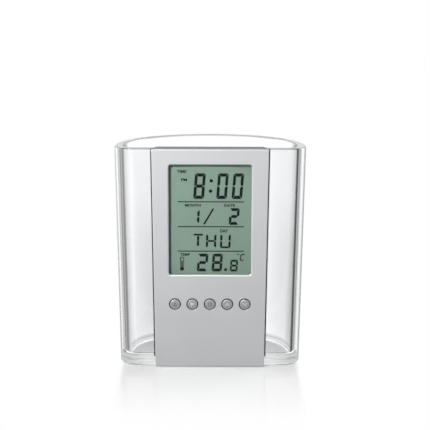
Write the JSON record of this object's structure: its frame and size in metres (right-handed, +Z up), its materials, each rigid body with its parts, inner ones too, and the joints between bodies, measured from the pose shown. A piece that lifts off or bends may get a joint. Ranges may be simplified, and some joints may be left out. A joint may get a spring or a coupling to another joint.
{
  "type": "desk clock",
  "caption": "Digital desk clock with calendar and thermometer display and push buttons, carried in the front wall of a clear D-shaped pen cup.",
  "frame": {"origin": "middle of the bounding box's footprint, on the surface that the cup stands on", "axes": "+Z up, the display faces -Y, +X to the right of someone who reads the display"},
  "size_m": [0.088, 0.045, 0.103],
  "materials": {
    "clear_plastic": "clear colourless moulded plastic, polished",
    "clear_lens": "clear thin window, polished",
    "silver_plastic": "satin silver lacquer on moulded plastic",
    "silver_cap": "satin silver lacquer on moulded plastic",
    "grey_plastic": "fine moulded texture",
    "black_plastic": "plain moulded",
    "plunger_plastic": "plain moulded",
    "lcd_glass": "grey-green liquid crystal display, satin front film",
    "foil": "matt reflector film",
    "strip_rubber": "soft layered rubber",
    "board_laminate": "green solder mask on laminate",
    "black_resin": "cured black resin",
    "steel": "nickel-plated steel",
    "brass": "rolled brass disc"
  },
  "bodies": {
    "cup": {"cup": "clear_plastic"},
    "clock_module": {"front_panel": "silver_plastic", "display_window": "clear_lens", "lcd_cell": "lcd_glass", "lcd_reflector": "foil", "lcd_frame": "black_plastic", "zebra_strip_upper": "strip_rubber", "zebra_strip_lower": "strip_rubber", "circuit_board": "board_laminate", "chip_cover": "black_resin", "crystal_can": "steel", "thermistor": "black_resin", "buzzer_disc": "brass", "switch_body_1": "black_plastic", "switch_body_2": "black_plastic", "switch_body_3": "black_plastic", "switch_body_4": "black_plastic", "switch_body_5": "black_plastic", "rear_case": "grey_plastic", "button_cell": "steel", "contact_minus": "steel", "contact_plus": "steel", "case_screw_1": "steel", "case_screw_2": "steel", "case_screw_3": "steel", "case_screw_4": "steel", "board_screw_1": "steel", "board_screw_2": "steel"},
    "button_1": {"button_1": "silver_cap", "switch_plunger_1": "plunger_plastic"},
    "button_2": {"button_2": "silver_cap", "switch_plunger_2": "plunger_plastic"},
    "button_3": {"button_3": "silver_cap", "switch_plunger_3": "plunger_plastic"},
    "button_4": {"button_4": "silver_cap", "switch_plunger_4": "plunger_plastic"},
    "button_5": {"button_5": "silver_cap", "switch_plunger_5": "plunger_plastic"},
    "battery_cover": {"battery_cover": "grey_plastic"}
  },
  "joints": [
    {"name": "module_lift", "type": "slide", "parent": "cup", "child": "clock_module", "axis": [0, 0, 1], "range_m": [0, 0.104]},
    {"name": "button_press_1", "type": "slide", "parent": "clock_module", "child": "button_1", "axis": [0, 1, 0], "range_m": [0, 0.0005], "stiffness_N_per_m": 600},
    {"name": "button_press_2", "type": "slide", "parent": "clock_module", "child": "button_2", "axis": [0, 1, 0], "range_m": [0, 0.0005], "stiffness_N_per_m": 600},
    {"name": "button_press_3", "type": "slide", "parent": "clock_module", "child": "button_3", "axis": [0, 1, 0], "range_m": [0, 0.0005], "stiffness_N_per_m": 600},
    {"name": "button_press_4", "type": "slide", "parent": "clock_module", "child": "button_4", "axis": [0, 1, 0], "range_m": [0, 0.0005], "stiffness_N_per_m": 600},
    {"name": "button_press_5", "type": "slide", "parent": "clock_module", "child": "button_5", "axis": [0, 1, 0], "range_m": [0, 0.0005], "stiffness_N_per_m": 600},
    {"name": "cover_turn", "type": "hinge", "parent": "clock_module", "child": "battery_cover", "pos_m": [0, -0.0092, 0.0156], "axis": [0, 1, 0], "range_deg": [0, 45]}
  ]
}
